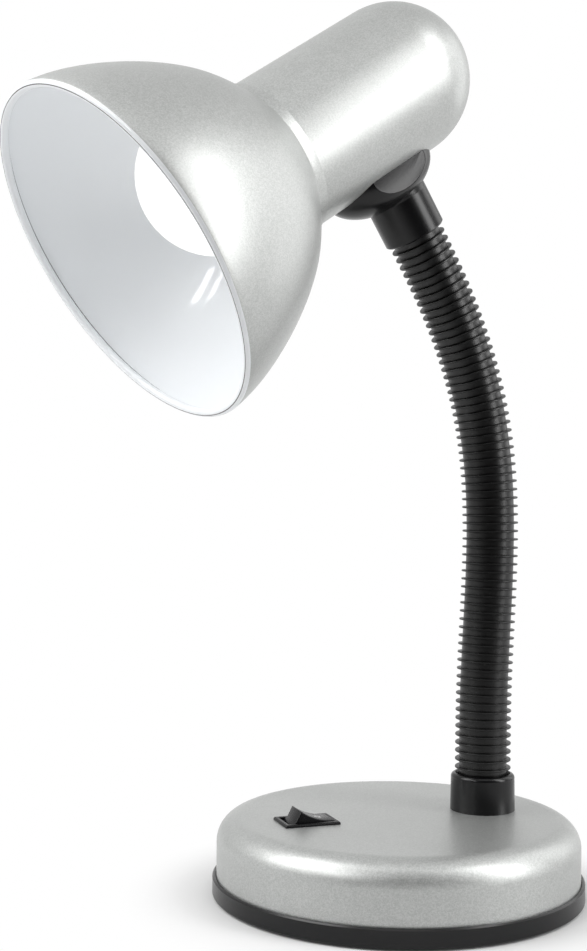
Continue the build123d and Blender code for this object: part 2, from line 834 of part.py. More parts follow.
ball_leave = 35.0                                  # degrees below the widest ring of the bulb
ring_corner = lamp.to_local_coords(head_frame(ring_start - ring_lip, housing_radius).origin)
ball_reach = (bulb_radius + bulb_gap) ** 2 - ring_corner.X**2
bulb_centre = ring_corner.Z + sqrt(max(ball_reach, 0))    # the ball stays clear of the ring


def bulb_half(inset):
    """Half section of the glass, from the axis to its outside or, with an inset, its inside."""
    ball_size = bulb_radius - inset
    leave = Vector(cos(radians(ball_leave)), -sin(radians(ball_leave))) * ball_size
    with BuildSketch(half_plane(lamp)) as half:
        with BuildLine():
            ball = CenterArc((0, bulb_centre), ball_size, -ball_leave, 90 + ball_leave)
            neck = Spline(
                (bulb_neck_radius - inset, cap_end - 2),
                (bulb_neck_radius - inset + 2.6, cap_end + 12),
                leave + Vector(0, bulb_centre),
                tangents=((0, 1), (sin(radians(ball_leave)), cos(radians(ball_leave)))),
            )
            Polyline(ball @ 1, (0, cap_end - 2), neck @ 0)
        make_face()
    return half


with BuildPart() as bulb_glass:
    revolve(bulb_half(0).sketch, axis=spin_axis(lamp))
    revolve(bulb_half(bulb_wall).sketch, axis=spin_axis(lamp), mode=Mode.SUBTRACT)
keep(bulb_glass, "bulb_glass")
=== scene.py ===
import json
from math import acos, cos, degrees, pi, radians, sin

import bpy
from mathutils import Matrix, Vector
from mathutils.geometry import interpolate_bezier


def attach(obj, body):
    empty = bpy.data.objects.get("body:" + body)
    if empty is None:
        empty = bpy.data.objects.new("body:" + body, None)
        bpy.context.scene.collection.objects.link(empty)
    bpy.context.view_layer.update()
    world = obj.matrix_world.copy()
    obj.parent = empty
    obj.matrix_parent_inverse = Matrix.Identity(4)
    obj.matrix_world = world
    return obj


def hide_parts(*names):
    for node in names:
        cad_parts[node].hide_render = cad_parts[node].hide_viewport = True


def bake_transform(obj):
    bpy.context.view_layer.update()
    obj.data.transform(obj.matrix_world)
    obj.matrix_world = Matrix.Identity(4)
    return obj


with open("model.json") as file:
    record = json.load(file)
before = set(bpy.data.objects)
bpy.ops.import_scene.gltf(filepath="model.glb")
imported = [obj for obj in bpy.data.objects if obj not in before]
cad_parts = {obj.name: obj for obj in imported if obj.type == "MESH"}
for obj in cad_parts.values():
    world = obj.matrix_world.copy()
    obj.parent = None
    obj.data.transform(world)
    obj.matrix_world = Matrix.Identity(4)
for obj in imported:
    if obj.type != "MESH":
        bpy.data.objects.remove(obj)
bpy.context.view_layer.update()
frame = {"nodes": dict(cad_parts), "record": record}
nodes = frame["nodes"]

# Gooseneck desk lamp, dressed. Metres, +Z up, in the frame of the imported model. Sizes below are
# written in millimetres and turned into metres by the helpers.

MM = 0.001

# ---- camera ----
CAMERA_SPOT = Vector((-218.5, -513.1, 159.7)) * MM
CAMERA_HEADING = 19.0        # degrees that the camera is turned from +Y towards +X
CAMERA_PITCH = -0.51
CAMERA_ROLL = 0.37
LENS = 56.75                 # millimetres on a 36 mm sensor along the long side
SENSOR = 36.0

# ---- base ----
COVER_TOP = 28.8
SWITCH_X = -35.8
MARK_OFFSET = 4.0            # printed ring on the rocker, from its middle
MARK_RADIUS = 1.0

# ---- neck ----
NECK_X = 34.8
NECK_TURN = 12.0
LINK_LENGTH = 21.6
LINK_TURNS = (-0.3, -2.6, -0.5, 2.2, 4.5, 7.2, 8.3, 6.7, 6.4, 1.75)
BALL_HEIGHT = 11.3
COLLAR_HEIGHT = 13.8
FINS_PER_LINK = 7
SLEEVE_RADIUS = 8.95
FIN_RADIUS = 10.5
FIN_THICK = 0.7
FIN_ROOT = 0.15              # rounding between the sleeve and a fin
FERRULE_OVERLAP = 4.85
FERRULE_LENGTH = 14.8

# ---- head ----
HEAD_RISE = 46.3
NECK_STATION = 108.45
MOUTH_RADIUS = 62.0
SHADE_DEPTH = 68.0
SHADE_WALL = 1.0
BEAD_RADIUS = 1.5            # rolled edge of the mouth
BEAD_GAP = 0.35              # slot between the rolled edge and the inside of the shade
SLOT_FLOOR = 1.1             # height of its floor, in radii of the rolled edge
HOUSING_RADIUS = 28.0
HOUSING_FIT = 0.02           # clearance of what seats on the housing
RING_WALL = 1.0
RING_LENGTH = 4.6
FERRULE_RADIUS = 11.5
THREAD_RADIUS = 5.0
SADDLE_STATION = 105.2
SADDLE_LEVEL = 25.0          # middle of the bowl under the head's axis
SADDLE_BOWL = (13.2, 17.3, 22.8)
SADDLE_HALF_WIDTH = 14.4
SADDLE_EDGE = 1.3            # rounding of its flat cheeks
SEAT_EDGE = 0.5              # rounding where it meets its neighbours

UP = Vector((0, 0, 1))
HEADING = Vector((-cos(radians(NECK_TURN)), -sin(radians(NECK_TURN)), 0))


# ---------------------------------------------------------------- places on the neck and head

def turned_frame(origin, x_dir, z_dir):
    """Matrix that takes a piece from the origin to a place, in metres."""
    z_dir = z_dir.normalized()
    x_dir = (x_dir - z_dir * x_dir.dot(z_dir)).normalized()
    y_dir = z_dir.cross(x_dir)
    turn = Matrix((x_dir, y_dir, z_dir)).transposed().to_4x4()
    return Matrix.Translation(origin * MM) @ turn


def neck_point(distance):
    """Point and lean, in degrees, on the neck's line at a distance from the first ball."""
    point, lean, left = Vector((NECK_X, 0, COVER_TOP + BALL_HEIGHT)), 0.0, distance
    for turn in LINK_TURNS:
        run = min(left, LINK_LENGTH)
        bend = turn * run / LINK_LENGTH
        half = radians(bend) / 2
        chord = run * (sin(half) / half if abs(half) > 1e-9 else 1.0)
        middle = radians(lean) + half
        point = point + (HEADING * sin(middle) + UP * cos(middle)) * chord
        lean += bend
        left -= run
        if left <= 0:
            break
    if left > 0:
        point = point + (HEADING * sin(radians(lean)) + UP * cos(radians(lean))) * left
    return point, lean


def neck_frame(distance):
    point, lean = neck_point(distance)
    along = HEADING * sin(radians(lean)) + UP * cos(radians(lean))
    across = HEADING * cos(radians(lean)) - UP * sin(radians(lean))
    return turned_frame(point, across, along)


LINKS = len(LINK_TURNS)
NECK_LENGTH = LINK_LENGTH * LINKS
FIN_PITCH = LINK_LENGTH / FINS_PER_LINK
neck_top, neck_lean = neck_point(NECK_LENGTH)
neck_along = HEADING * sin(radians(neck_lean)) + UP * cos(radians(neck_lean))
neck_across = HEADING * cos(radians(neck_lean)) - UP * sin(radians(neck_lean))
mouth_middle = neck_top + neck_along * HEAD_RISE + neck_across * NECK_STATION
HEAD = turned_frame(mouth_middle, neck_along, -neck_across)   # Z from the mouth to the round end


# ---------------------------------------------------------------- modelling helpers

def none_selected():
    if bpy.context.object and bpy.context.object.mode != "OBJECT":
        bpy.ops.object.mode_set(mode="OBJECT")
    bpy.ops.object.select_all(action="DESELECT")


def work_on(piece):
    """Makes a piece the only selected and active object."""
    none_selected()
    piece.select_set(True)
    bpy.context.view_layer.objects.active = piece


def rings(name, stations, segments=96, closed=False, caps=(False, False)):
    """A turned piece about Z: a circle that is extruded from station to station.

    A station is (radius, height) in millimetres. A closed piece joins its last ring to the first,
    and a cap fills the first or the last ring.
    """
    none_selected()
    radius, height = stations[0]
    bpy.ops.mesh.primitive_circle_add(
        vertices=segments, radius=radius * MM, location=(0, 0, height * MM),
        fill_type="NGON" if caps[0] else "NOTHING",
    )
    piece = bpy.context.object
    piece.name = name
    bpy.ops.object.transform_apply(location=True, rotation=True, scale=True)
    bpy.ops.object.mode_set(mode="EDIT")
    bpy.ops.mesh.select_mode(type="EDGE")
    bpy.ops.mesh.select_all(action="SELECT")
    for new_radius, new_height in stations[1:]:
        bpy.ops.mesh.extrude_edges_move(
            TRANSFORM_OT_translate={"value": (0, 0, (new_height - height) * MM)}
        )
        if abs(new_radius - radius) > 1e-6:
            grow = new_radius / radius
            bpy.ops.transform.resize(
                value=(grow, grow, 1), center_override=(0, 0, new_height * MM)
            )
        radius, height = new_radius, new_height
    if caps[1]:
        bpy.ops.mesh.edge_face_add()
    bpy.ops.mesh.select_all(action="SELECT")
    if closed:
        bpy.ops.mesh.remove_doubles(threshold=1e-6)
    bpy.ops.mesh.normals_make_consistent(inside=False)
    bpy.ops.object.mode_set(mode="OBJECT")
    return piece


def settle(piece, place=None, smooth=40):
    """Puts a finished piece in its place, in its mesh, and smooths its faces."""
    work_on(piece)
    if place is not None:
        piece.matrix_world = place
    bpy.ops.object.transform_apply(location=True, rotation=True, scale=True)
    if smooth:
        bpy.ops.object.shade_smooth_by_angle(angle=radians(smooth))
    return piece


def arc(centre, radius, start, end, steps):
    """Stations of an arc in the (radius, height) plane, with angles in degrees."""
    turns = [radians(start + (end - start) * step / steps) for step in range(steps + 1)]
    return [(centre[0] + radius * cos(a), centre[1] + radius * sin(a)) for a in turns]


def dress(piece, *materials):
    piece.data.materials.clear()
    for material in materials:
        piece.data.materials.append(material)
    return piece


def finish_piece(piece, body, slot, *materials, replaces=()):
    dress(piece, *materials)
    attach(piece, body)
    if replaces:
        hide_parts(*replaces)
    return piece


# ---------------------------------------------------------------- materials

def new_group(name, inputs, outputs):
    """A node group of textures, with named inputs and outputs."""
    group = bpy.data.node_groups.new(name, "ShaderNodeTree")
    for label, kind, value in inputs:
        socket = group.interface.new_socket(label, in_out="INPUT", socket_type=kind)
        socket.default_value = value
    for label, kind in outputs:
        group.interface.new_socket(label, in_out="OUTPUT", socket_type=kind)
    return group, group.nodes.new("NodeGroupInput"), group.nodes.new("NodeGroupOutput")


def add_node(tree, kind, **settings):
    node = tree.nodes.new(kind)
    for key, value in settings.items():
        if key in node.inputs:
            node.inputs[key].default_value = value
        else:
            setattr(node, key, value)
    return node


def add_fade(tree, value, start, end, low=0.0, high=1.0, **settings):
    """A value that goes from low to high as another goes from start to end."""
    fade = add_node(tree, "ShaderNodeMapRange", **settings)
    tree.links.new(value, fade.inputs["Value"])
    fade.inputs["From Min"].default_value = start
    fade.inputs["From Max"].default_value = end
    fade.inputs["To Min"].default_value = low
    fade.inputs["To Max"].default_value = high
    return fade


def flake_group():
    """Bright and dark metal flakes, and the slow unevenness of a sprayed coat."""
    group, given, result = new_group(
        "paint_flakes",
        [("Colour", "NodeSocketColor", (0.5, 0.5, 0.5, 1)), ("Flake size", "NodeSocketFloat", 0.0004),
         ("Contrast", "NodeSocketFloat", 0.2), ("Roughness", "NodeSocketFloat", 0.35)],
        [("Colour", "NodeSocketColor"), ("Roughness", "NodeSocketFloat"),
         ("Height", "NodeSocketFloat")],
    )
    link = group.links.new
    place = add_node(group, "ShaderNodeTexCoord")
    scale = add_node(group, "ShaderNodeMath", operation="DIVIDE")
    scale.inputs[0].default_value = 1.0
    link(given.outputs["Flake size"], scale.inputs[1])
    cells = add_node(group, "ShaderNodeTexVoronoi", feature="F1")
    link(place.outputs["Object"], cells.inputs["Vector"])
    link(scale.outputs[0], cells.inputs["Scale"])
    grey = add_node(group, "ShaderNodeSeparateColor")
    link(cells.outputs["Color"], grey.inputs[0])
    cloud = add_node(group, "ShaderNodeTexNoise", Scale=90.0, Detail=2.0)
    link(place.outputs["Object"], cloud.inputs["Vector"])
    flake = add_node(group, "ShaderNodeMath", operation="SUBTRACT")
    link(grey.outputs[0], flake.inputs[0])
    flake.inputs[1].default_value = 0.5
    both = add_node(group, "ShaderNodeMath", operation="MULTIPLY")
    link(flake.outputs[0], both.inputs[0])
    link(given.outputs["Contrast"], both.inputs[1])
    slow = add_node(group, "ShaderNodeMath", operation="MULTIPLY_ADD")
    link(cloud.outputs["Fac"], slow.inputs[0])
    slow.inputs[1].default_value = 0.06
    link(both.outputs[0], slow.inputs[2])
    gain = add_node(group, "ShaderNodeMath", operation="ADD")
    link(slow.outputs[0], gain.inputs[0])
    gain.inputs[1].default_value = 0.97
    colour = add_node(group, "ShaderNodeVectorMath", operation="SCALE")
    link(given.outputs["Colour"], colour.inputs[0])
    link(gain.outputs[0], colour.inputs["Scale"])
    link(colour.outputs[0], result.inputs["Colour"])
    rough = add_node(group, "ShaderNodeMath", operation="MULTIPLY_ADD")
    link(flake.outputs[0], rough.inputs[0])
    rough.inputs[1].default_value = 0.12
    link(given.outputs["Roughness"], rough.inputs[2])
    link(rough.outputs[0], result.inputs["Roughness"])
    link(grey.outputs[1], result.inputs["Height"])
    return group


def moulding_group():
    """Fine spark grain and a little dust on moulded plastic."""
    group, given, result = new_group(
        "moulded_skin",
        [("Colour", "NodeSocketColor", (0.02, 0.02, 0.02, 1)), ("Grain", "NodeSocketFloat", 2500.0),
         ("Dust", "NodeSocketFloat", 0.1), ("Roughness", "NodeSocketFloat", 0.4)],
        [("Colour", "NodeSocketColor"), ("Roughness", "NodeSocketFloat"),
         ("Height", "NodeSocketFloat")],
    )
    link = group.links.new
    place = add_node(group, "ShaderNodeTexCoord")
    grain = add_node(group, "ShaderNodeTexNoise", Detail=3.0)
    link(place.outputs["Object"], grain.inputs["Vector"])
    link(given.outputs["Grain"], grain.inputs["Scale"])
    cloud = add_node(group, "ShaderNodeTexNoise", Scale=140.0, Detail=4.0)
    link(place.outputs["Object"], cloud.inputs["Vector"])
    spots = add_fade(group, cloud.outputs["Fac"], 0.5, 0.75)
    amount = add_node(group, "ShaderNodeMath", operation="MULTIPLY")
    link(spots.outputs["Result"], amount.inputs[0])
    link(given.outputs["Dust"], amount.inputs[1])
    mix = add_node(group, "ShaderNodeMix", data_type="RGBA")
    link(amount.outputs[0], mix.inputs[0])
    link(given.outputs["Colour"], mix.inputs[6])
    mix.inputs[7].default_value = (0.16, 0.16, 0.16, 1)
    link(mix.outputs[2], result.inputs["Colour"])
    rough = add_node(group, "ShaderNodeMath", operation="MULTIPLY_ADD")
    link(grain.outputs["Fac"], rough.inputs[0])
    rough.inputs[1].default_value = 0.14
    link(given.outputs["Roughness"], rough.inputs[2])
    link(rough.outputs[0], result.inputs["Roughness"])
    link(grain.outputs["Fac"], result.inputs["Height"])
    return group


FLAKES = flake_group()
MOULDING = moulding_group()


def shaded(name, group, bump, distance, shader, **values):
    """A material whose colour, roughness and relief come from a group of textures."""
    material = bpy.data.materials.new(name)
    material.use_nodes = True
    tree = material.node_tree
    surface = tree.nodes["Principled BSDF"]
    for key, value in shader.items():
        surface.inputs[key].default_value = value
    skin = tree.nodes.new("ShaderNodeGroup")
    skin.node_tree = group
    for key, value in values.items():
        skin.inputs[key.replace("_", " ")].default_value = value
    tree.links.new(skin.outputs["Colour"], surface.inputs["Base Color"])
    tree.links.new(skin.outputs["Roughness"], surface.inputs["Roughness"])
    relief = tree.nodes.new("ShaderNodeBump")
    relief.inputs["Strength"].default_value = bump
    relief.inputs["Distance"].default_value = distance
    tree.links.new(skin.outputs["Height"], relief.inputs["Height"])
    tree.links.new(relief.outputs["Normal"], surface.inputs["Normal"])
    return material


silver_paint = shaded(
    "silver_flake_paint", FLAKES, 0.12, 0.0001,
    {"Metallic": 0.75, "Coat Weight": 0.2, "Coat Roughness": 0.2},
    Colour=(0.47, 0.48, 0.47, 1), Flake_size=0.00034, Contrast=0.28, Roughness=0.43,
)
white_enamel = shaded(
    "white_enamel", MOULDING, 0.05, 0.0001, {"Coat Weight": 0.5, "Coat Roughness": 0.06},
    Colour=(0.86, 0.88, 0.90, 1), Grain=900.0, Dust=0.0, Roughness=0.3,
)
black_satin = shaded(
    "black_satin_moulding", MOULDING, 0.12, 0.0001, {"Specular IOR Level": 0.36},
    Colour=(0.0022, 0.0022, 0.0026, 1), Grain=2500.0, Dust=0.004, Roughness=0.17,
)
black_sleeve = shaded(
    "black_sleeve", MOULDING, 0.15, 0.0001, {"Specular IOR Level": 0.48},
    Colour=(0.0022, 0.0022, 0.0022, 1), Grain=1800.0, Dust=0.008, Roughness=0.28,
)


def switch_moulding(name):
    return shaded(
        name, MOULDING, 0.06, 0.0001, {"Specular IOR Level": 0.24},
        Colour=(0.003, 0.003, 0.0035, 1), Grain=2500.0, Dust=0.01, Roughness=0.2,
    )


black_gloss = switch_moulding("black_gloss_moulding")
zinc_steel = shaded(
    "zinc_steel", MOULDING, 0.1, 0.0001, {"Metallic": 1.0},
    Colour=(0.62, 0.61, 0.57, 1), Grain=1500.0, Dust=0.3, Roughness=0.3,
)
# Dark iron of the ballast disc. The same material lies in the shade's rim slot as painted shade.
iron_and_slot_shade = shaded(
    "iron_and_slot_shade", MOULDING, 0.4, 0.0003, {"Metallic": 0.9},
    Colour=(0.16, 0.15, 0.15, 1), Grain=600.0, Dust=0.4, Roughness=0.55,
)
brass = shaded(
    "brass", MOULDING, 0.05, 0.0001, {"Metallic": 1.0},
    Colour=(0.72, 0.52, 0.24, 1), Grain=1500.0, Dust=0.1, Roughness=0.22,
)
cap_metal = shaded(
    "cap_aluminium", MOULDING, 0.05, 0.0001, {"Metallic": 1.0},
    Colour=(0.75, 0.75, 0.76, 1), Grain=1500.0, Dust=0.1, Roughness=0.28,
)
cream_moulding = shaded(
    "cream_moulding", MOULDING, 0.1, 0.0001, {},
    Colour=(0.72, 0.70, 0.64, 1), Grain=1500.0, Dust=0.05, Roughness=0.4,
)
pad_foam = shaded(
    "pad_foam", MOULDING, 0.8, 0.0004, {},
    Colour=(0.03, 0.03, 0.03, 1), Grain=1200.0, Dust=0.2, Roughness=0.85,
)
# Painted light: the bulb is taken as switched off. Its weak emission is a faint glow that makes the
# opal glass read white and lifts the inside of the shade a little.
opal_glass = shaded(
    "opal_glass", MOULDING, 0.02, 0.0001,
    {"Emission Color": (1.0, 0.99, 0.97, 1), "Emission Strength": 0.55, "Coat Weight": 0.4,
     "Coat Roughness": 0.05},
    Colour=(0.92, 0.92, 0.91, 1), Grain=800.0, Dust=0.0, Roughness=0.2,
)

by_slot = {
    "silver_paint": silver_paint, "black_plastic": black_satin, "switch_plastic": black_gloss,
    "sleeve_plastic": black_sleeve, "foam": pad_foam, "ballast_iron": iron_and_slot_shade,
    "zinc_steel": zinc_steel, "holder_plastic": cream_moulding,
    "terminal_plastic": cream_moulding, "brass": brass, "opal_glass": opal_glass,
    "cap_aluminium": cap_metal,
}
for entry in frame["record"]["subparts"]:
    dress(nodes[entry["node"]], by_slot[entry["material_slot"]])


# ---------------------------------------------------------------- shade

def bell_line():
    """Outer line of the bell from the rolled edge to the neck ring, as (radius, height)."""
    knots = [
        Vector((MOUTH_RADIUS, BEAD_RADIUS)), Vector((MOUTH_RADIUS - 5.3, 24)),
        Vector((MOUTH_RADIUS - 17.5, 48)),
        Vector((HOUSING_RADIUS + RING_WALL + 1, SHADE_DEPTH - RING_LENGTH)),
    ]
    turns = [Vector((-0.06, 1)), knots[2] - knots[0], knots[3] - knots[1], Vector((-0.75, 0.66))]
    points = [knots[0]]
    for low, high, start, end in zip(knots, knots[1:], turns, turns[1:]):
        reach = (high - low).length / 3
        run = interpolate_bezier(
            low, low + start.normalized() * reach, high - end.normalized() * reach, high, 12
        )
        points += run[1:]
    return points


def lining_line(points):
    """Inner line of the bell, a wall's thickness inside the outer one."""
    inner = []
    for place, point in enumerate(points):
        before = points[max(place - 1, 0)]
        after = points[min(place + 1, len(points) - 1)]
        along = (after - before).normalized()
        inner.append(point + Vector((-along.y, along.x)) * SHADE_WALL)
    return inner


def shade_piece():
    outside = bell_line()
    lining = [point for point in lining_line(outside) if point.y > 2.1 * BEAD_RADIUS]
    ring_radius = HOUSING_RADIUS + RING_WALL
    ring_start = SHADE_DEPTH - RING_LENGTH
    fit = HOUSING_RADIUS + HOUSING_FIT
    slot_wall = lining[0].x
    slot_roll = slot_wall - BEAD_GAP
    slot_floor = SLOT_FLOOR * BEAD_RADIUS
    centre = (MOUTH_RADIUS - BEAD_RADIUS, BEAD_RADIUS)
    opening = degrees(acos((slot_roll - centre[0]) / BEAD_RADIUS))
    stations = [(point.x, point.y) for point in outside]
    stations += [
        (ring_radius + 0.45, ring_start + 0.3), (ring_radius + 0.1, ring_start + 0.65),
        (ring_radius, ring_start + 1.1), (ring_radius, SHADE_DEPTH - 0.35),
        (ring_radius - 0.1, SHADE_DEPTH - 0.1), (ring_radius - 0.35, SHADE_DEPTH),
        (fit, SHADE_DEPTH), (fit, ring_start - 0.4),
    ]
    stations += [(point.x, point.y) for point in reversed(lining)]
    stations += [(slot_wall, slot_floor), (slot_roll, slot_floor)]
    stations += arc(centre, BEAD_RADIUS, opening, 360, 22)
    piece = rings("shade", stations, segments=192, closed=True)
    # The slot gets the dark iron as painted shade: a dark line in the crease behind the rolled edge.
    dress(piece, silver_paint, white_enamel, iron_and_slot_shade)   # outside, inside, slot
    for face in piece.data.polygons:
        radius = face.center.xy.length / MM
        height = face.center.z / MM
        outer = face.normal.xy.dot(face.center.xy) > 0 and radius >= ring_radius - 0.5
        if height < 2 * BEAD_RADIUS:
            outer = outer and height > 0.7 * BEAD_RADIUS and radius >= MOUTH_RADIUS - BEAD_RADIUS
        in_slot = slot_roll - 0.01 < radius < slot_wall + 0.05 and height < lining[0].y - 0.3
        face.material_index = 2 if in_slot else 0 if outer else 1
    settle(piece, HEAD, smooth=40)
    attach(piece, "head")
    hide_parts("head_shade")


shade_piece()


# ---------------------------------------------------------------- saddle

def keep_side(piece, point, normal):
    """Cuts a closed piece at a plane, closes the cut and drops what is past it."""
    work_on(piece)
    bpy.ops.object.mode_set(mode="EDIT")
    bpy.ops.mesh.select_all(action="SELECT")
    bpy.ops.mesh.bisect(
        plane_co=Vector(point) * MM, plane_no=normal, use_fill=True, clear_outer=True
    )
    bpy.ops.object.mode_set(mode="OBJECT")


def join_or_cut(piece, tool, operation):
    """Joins a closed tool to a closed piece, or takes it away, and removes the tool."""
    work_on(piece)
    change = piece.modifiers.new("shape", "BOOLEAN")
    change.operation = operation
    change.solver = "EXACT"
    change.object = tool
    bpy.ops.object.modifier_apply(modifier=change.name)
    bpy.data.objects.remove(tool)


def round_edges(piece, width, segments=3, angle=30):
    work_on(piece)
    edge = piece.modifiers.new("edge", "BEVEL")
    edge.width = width * MM
    edge.segments = segments
    edge.limit_method = "ANGLE"
    edge.angle_limit = radians(angle)
    bpy.ops.object.modifier_apply(modifier=edge.name)


def rod(radius, length, middle, axis="Z", segments=96):
    """A round bar along Z or X of the frame that the piece is made in."""
    none_selected()
    turn = (0, radians(90), 0) if axis == "X" else (0, 0, 0)
    bpy.ops.mesh.primitive_cylinder_add(
        vertices=segments, radius=radius * MM, depth=length * MM,
        location=Vector(middle) * MM, rotation=turn,
    )
    bpy.ops.object.transform_apply(location=True, rotation=True, scale=True)
    return bpy.context.object


def saddle_piece():
    seat = FERRULE_LENGTH - FERRULE_OVERLAP - HEAD_RISE
    none_selected()
    bpy.ops.mesh.primitive_uv_sphere_add(
        segments=96, ring_count=64, radius=MM, location=(-SADDLE_LEVEL * MM, 0, SADDLE_STATION * MM)
    )
    piece = bpy.context.object
    piece.name = "saddle"
    piece.scale = SADDLE_BOWL
    bpy.ops.object.transform_apply(location=True, rotation=True, scale=True)
    keep_side(piece, (0, SADDLE_HALF_WIDTH, 0), (0, 1, 0))
    keep_side(piece, (0, -SADDLE_HALF_WIDTH, 0), (0, -1, 0))
    keep_side(piece, (-0.4 * SADDLE_LEVEL, 0, 0), (1, 0, 0))
    round_edges(piece, SADDLE_EDGE, segments=5, angle=25)
    keep_side(piece, (seat, 0, 0), (-1, 0, 0))
    column = rod(FERRULE_RADIUS, -seat - 0.5 * SADDLE_LEVEL,
                 ((seat - 0.5 * SADDLE_LEVEL) / 2, 0, NECK_STATION), axis="X")
    join_or_cut(piece, column, "UNION")
    housing = rod(HOUSING_RADIUS + HOUSING_FIT, 4 * SHADE_DEPTH, (0, 0, SADDLE_STATION), segments=256)
    join_or_cut(piece, housing, "DIFFERENCE")
    bore = rod(THREAD_RADIUS, 4 * SADDLE_LEVEL, (-SADDLE_LEVEL, 0, NECK_STATION), axis="X")
    join_or_cut(piece, bore, "DIFFERENCE")
    round_edges(piece, SEAT_EDGE, segments=2, angle=40)
    settle(piece, HEAD, smooth=35)
    finish_piece(piece, "head", "black_plastic", black_satin, replaces=("head_saddle",))


saddle_piece()


# ---------------------------------------------------------------- switch

def marked_moulding():
    """The switch's moulding with a printed ring on its low half."""
    group, given, result = new_group(
        "printed_ring", [("Line", "NodeSocketFloat", 0.15 * MM)], [("Mask", "NodeSocketFloat")]
    )
    link = group.links.new
    place = add_node(group, "ShaderNodeTexCoord")
    flat = add_node(group, "ShaderNodeVectorMath", operation="MULTIPLY")
    link(place.outputs["Object"], flat.inputs[0])
    flat.inputs[1].default_value = (1, 1, 0)
    reach = add_node(group, "ShaderNodeVectorMath", operation="DISTANCE")
    link(flat.outputs["Vector"], reach.inputs[0])
    reach.inputs[1].default_value = ((SWITCH_X + MARK_OFFSET) * MM, 0, 0)
    off = add_node(group, "ShaderNodeMath", operation="SUBTRACT")
    link(reach.outputs["Value"], off.inputs[0])
    off.inputs[1].default_value = MARK_RADIUS * MM
    ring = add_node(group, "ShaderNodeMath", operation="ABSOLUTE")
    link(off.outputs[0], ring.inputs[0])
    mask = add_node(group, "ShaderNodeMath", operation="LESS_THAN")
    link(ring.outputs[0], mask.inputs[0])
    link(given.outputs["Line"], mask.inputs[1])
    link(mask.outputs[0], result.inputs["Mask"])

    material = switch_moulding("marked_moulding")
    tree = material.node_tree
    skin = next(node for node in tree.nodes if node.type == "GROUP")
    marks = tree.nodes.new("ShaderNodeGroup")
    marks.node_tree = group
    print_mix = add_node(tree, "ShaderNodeMix", data_type="RGBA")
    tree.links.new(marks.outputs["Mask"], print_mix.inputs[0])
    tree.links.new(skin.outputs["Colour"], print_mix.inputs[6])
    print_mix.inputs[7].default_value = (0.75, 0.75, 0.75, 1)
    tree.links.new(print_mix.outputs[2], tree.nodes["Principled BSDF"].inputs["Base Color"])
    return material


def softened_copy(node, name, width):
    """A copy of a moulded node with its sharp edges rounded."""
    none_selected()
    piece = nodes[node].copy()
    piece.data = nodes[node].data.copy()
    piece.name = name
    piece.animation_data_clear()
    bpy.context.scene.collection.objects.link(piece)
    work_on(piece)
    bpy.ops.object.mode_set(mode="EDIT")
    bpy.ops.mesh.select_all(action="SELECT")
    bpy.ops.mesh.remove_doubles(threshold=2e-6)
    bpy.ops.mesh.dissolve_limited(angle_limit=radians(0.5))
    bpy.ops.object.mode_set(mode="OBJECT")
    round_edges(piece, width)
    return settle(piece, smooth=30)


rocker = softened_copy("switch_rocker", "rocker", 0.3)
finish_piece(rocker, "rocker", "switch_plastic", marked_moulding(), replaces=("switch_rocker",))
bezel = softened_copy("switch_body", "switch_frame", 0.25)
finish_piece(bezel, "base", "switch_plastic", black_gloss, replaces=("switch_body",))


# ---------------------------------------------------------------- ribbed sleeve

def rib_stations(first, last):
    """Stations of a straight length of sleeve between two distances, with its fins."""
    half = FIN_THICK / 2
    stations = [(SLEEVE_RADIUS, first)]
    for number in range(FINS_PER_LINK * LINKS):
        middle = (number + 0.5) * FIN_PITCH
        if middle - 2 * half < first or middle + 2 * half > last:
            continue
        stations += [
            (SLEEVE_RADIUS, middle - half - FIN_ROOT), (SLEEVE_RADIUS + FIN_ROOT, middle - half),
            (FIN_RADIUS - 0.1, middle - half + 0.06), (FIN_RADIUS, middle - half + 0.16),
            (FIN_RADIUS, middle + half - 0.16), (FIN_RADIUS - 0.1, middle + half - 0.06),
            (SLEEVE_RADIUS + FIN_ROOT, middle + half), (SLEEVE_RADIUS, middle + half + FIN_ROOT),
        ]
    stations.append((SLEEVE_RADIUS, last))
    return stations


def neck_curve():
    """The neck's line as a curve that a modifier can follow."""
    data = bpy.data.curves.new("neck_line", "CURVE")
    data.dimensions = "3D"
    steps = 10 * LINKS + 1
    extra = 20.0
    distances = [NECK_LENGTH * step / (steps - 1) for step in range(steps)]
    distances.append(NECK_LENGTH + extra)
    spline = data.splines.new("POLY")
    spline.points.add(len(distances) - 1)
    for point, distance in zip(spline.points, distances):
        point.co = (*(neck_point(distance)[0] * MM), 1)
    line = bpy.data.objects.new("neck_line", data)
    bpy.context.scene.collection.objects.link(line)
    return line


line = neck_curve()
grooves = [LINK_LENGTH * link + 4 * FIN_PITCH for link in range(LINKS)]
cuts = [0.15] + grooves + [NECK_LENGTH - 0.3]
for number in range(LINKS + 1):
    low, high = cuts[number], cuts[number + 1]
    stations = rib_stations(low, high)
    if number == 0:
        above = COLLAR_HEIGHT - BALL_HEIGHT + FIN_THICK
        stations = [s for s in stations if s[1] < low + 0.01 or s[1] > above]
    if number == LINKS:
        ferrule = NECK_LENGTH - FERRULE_OVERLAP - FIN_THICK
        stations = [s for s in stations if s[1] > high - 0.01 or s[1] < ferrule]
    piece = rings(f"sleeve_{number + 1}", stations, segments=64)
    work_on(piece)
    piece.rotation_euler = (0, radians(90), 0)
    bpy.ops.object.transform_apply(location=False, rotation=True, scale=False)
    bend = piece.modifiers.new("neck", "CURVE")
    bend.object = line
    bend.deform_axis = "POS_X"
    work_on(piece)
    bpy.ops.object.modifier_apply(modifier=bend.name)
    settle(piece, smooth=30)
    dress(piece, black_sleeve)
    if number < LINKS:
        tuple(neck_point(low)[0] * MM)
        tuple(neck_point(high)[0] * MM)
        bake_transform(piece)
        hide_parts(f"neck_sleeve_{number + 1}")
    else:
        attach(piece, "head")
bpy.data.objects.remove(line)


# ---------------------------------------------------------------- camera, floor and light

